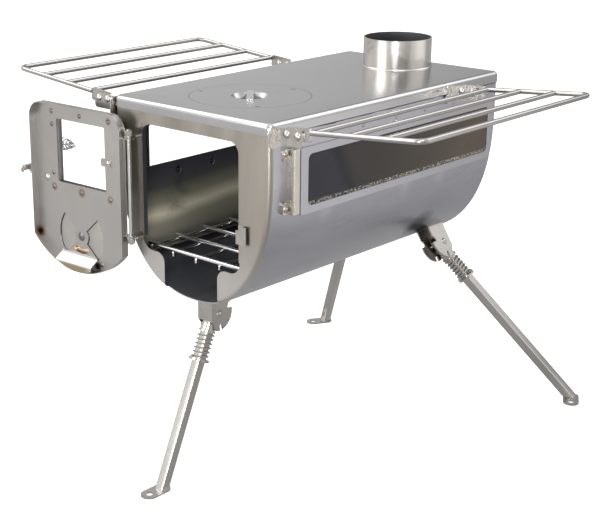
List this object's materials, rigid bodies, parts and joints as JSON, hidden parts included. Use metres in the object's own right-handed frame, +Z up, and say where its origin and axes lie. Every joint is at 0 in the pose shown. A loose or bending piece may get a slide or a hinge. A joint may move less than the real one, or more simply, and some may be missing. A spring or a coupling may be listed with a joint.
{
  "type": "tent wood stove",
  "caption": "Portable tent wood stove: U-shaped stainless firebox with side windows, hinged front door, lift-out cooking lid, flue collar, wire side racks and folding legs.",
  "frame": {"origin": "centre of the top plate's upper face, where the stove's length and width axes cross", "axes": "+X to the stove's right seen from its door, +Y from the door towards the flue, +Z up out of the top plate"},
  "size_m": [0.6282, 0.6102, 0.4882],
  "materials": {
    "brushed_steel": "satin brushed",
    "bright_steel": "polished",
    "heat_darkened_steel": "heat darkened",
    "smoked_glass": "smoke tinted",
    "clear_glass": "clear"
  },
  "bodies": {
    "stove": {"body_shell": "brushed_steel", "front_plate": "brushed_steel", "back_plate": "brushed_steel", "top_plate": "brushed_steel", "lid_seat_ring": "heat_darkened_steel", "flue_collar": "bright_steel", "side_frame_right": "brushed_steel", "side_frame_left": "brushed_steel", "side_glass_right": "smoked_glass", "side_glass_left": "smoked_glass", "side_screws": "heat_darkened_steel", "liner_right": "heat_darkened_steel", "liner_left": "heat_darkened_steel", "strike_tab": "brushed_steel", "wall_channel": "brushed_steel", "channel_rivets": "bright_steel", "rack_brackets": "brushed_steel", "rack_rivets": "bright_steel", "body_hinge_ears": "brushed_steel", "hinge_rod": "bright_steel", "hinge_nuts": "bright_steel", "leg_pivot_rivets": "bright_steel", "front_leg_bracket": "brushed_steel", "right_leg_bracket": "brushed_steel", "left_leg_bracket": "brushed_steel"},
    "lid": {"cook_lid": "brushed_steel", "lid_strap": "bright_steel"},
    "grate": {"grate": "bright_steel"},
    "right_rack": {"rack_right": "bright_steel", "rack_right_tabs": "brushed_steel"},
    "left_rack": {"rack_left": "bright_steel", "rack_left_tabs": "brushed_steel"},
    "door": {"door_pan": "brushed_steel", "door_glass": "clear_glass", "door_window_frame": "brushed_steel", "door_screws": "heat_darkened_steel", "glass_clip": "heat_darkened_steel", "door_hinge_ears": "brushed_steel", "damper_rivet": "heat_darkened_steel", "air_deflector": "brushed_steel", "latch_pivot": "heat_darkened_steel"},
    "damper": {"air_damper": "brushed_steel"},
    "latch": {"latch_lever": "brushed_steel", "latch_handle_rod": "bright_steel", "latch_coil_grip": "bright_steel"},
    "front_leg": {"front_leg_tube": "brushed_steel", "front_leg_foot": "brushed_steel", "front_leg_spring": "bright_steel"},
    "front_collar": {"front_leg_collar": "brushed_steel"},
    "right_leg": {"right_leg_tube": "brushed_steel", "right_leg_foot": "brushed_steel", "right_leg_spring": "bright_steel"},
    "right_collar": {"right_leg_collar": "brushed_steel"},
    "left_leg": {"left_leg_tube": "brushed_steel", "left_leg_foot": "brushed_steel", "left_leg_spring": "bright_steel"},
    "left_collar": {"left_leg_collar": "brushed_steel"}
  },
  "joints": [
    {"name": "door_swing", "type": "hinge", "parent": "stove", "child": "door", "pos_m": [-0.0875, -0.231, -0.105], "axis": [0, 0, 1], "range_deg": [0, 178]},
    {"name": "damper_turn", "type": "hinge", "parent": "door", "child": "damper", "pos_m": [-0.17447, -0.23344, -0.182], "axis": [0.0349, -0.9994, 0], "range_deg": [0, 60]},
    {"name": "latch_turn", "type": "hinge", "parent": "door", "child": "latch", "pos_m": [-0.233, -0.23348, -0.116], "axis": [0.0349, -0.9994, 0], "range_deg": [0, 35]},
    {"name": "lid_lift", "type": "slide", "parent": "stove", "child": "lid", "axis": [0, 0, 1], "range_m": [0, 0.12]},
    {"name": "grate_lift", "type": "slide", "parent": "stove", "child": "grate", "axis": [0, 0, 1], "range_m": [0, 0.09]},
    {"name": "right_rack_fold", "type": "hinge", "parent": "stove", "child": "right_rack", "pos_m": [0.141, -0.0491, -0.009], "axis": [0, -1, 0], "range_deg": [0, 95]},
    {"name": "left_rack_fold", "type": "hinge", "parent": "stove", "child": "left_rack", "pos_m": [-0.141, -0.0491, -0.009], "axis": [0, 1, 0], "range_deg": [0, 95]},
    {"name": "front_leg_fold", "type": "hinge", "parent": "stove", "child": "front_leg", "pos_m": [0, -0.1836, -0.2504], "axis": [1, 0, 0], "range_deg": [0, 110]},
    {"name": "front_collar_slide", "type": "slide", "parent": "front_leg", "child": "front_collar", "axis": [0, -0.4051, -0.9143], "range_m": [0, 0.01], "stiffness_N_per_m": 600, "springref_m": -0.015, "deforming": ["front_leg_spring"]},
    {"name": "right_leg_fold", "type": "hinge", "parent": "stove", "child": "right_leg", "pos_m": [0.0752, 0.17, -0.2313], "axis": [-0.8368, 0, -0.5476], "range_deg": [0, 110]},
    {"name": "right_collar_slide", "type": "slide", "parent": "right_leg", "child": "right_collar", "axis": [0.493, 0.4352, -0.7534], "range_m": [0, 0.01], "stiffness_N_per_m": 600, "springref_m": -0.015, "deforming": ["right_leg_spring"]},
    {"name": "left_leg_fold", "type": "hinge", "parent": "stove", "child": "left_leg", "pos_m": [-0.0752, 0.17, -0.2313], "axis": [-0.8368, 0, 0.5476], "range_deg": [0, 110]},
    {"name": "left_collar_slide", "type": "slide", "parent": "left_leg", "child": "left_collar", "axis": [-0.493, 0.4352, -0.7534], "range_m": [0, 0.01], "stiffness_N_per_m": 600, "springref_m": -0.015, "deforming": ["left_leg_spring"]}
  ]
}
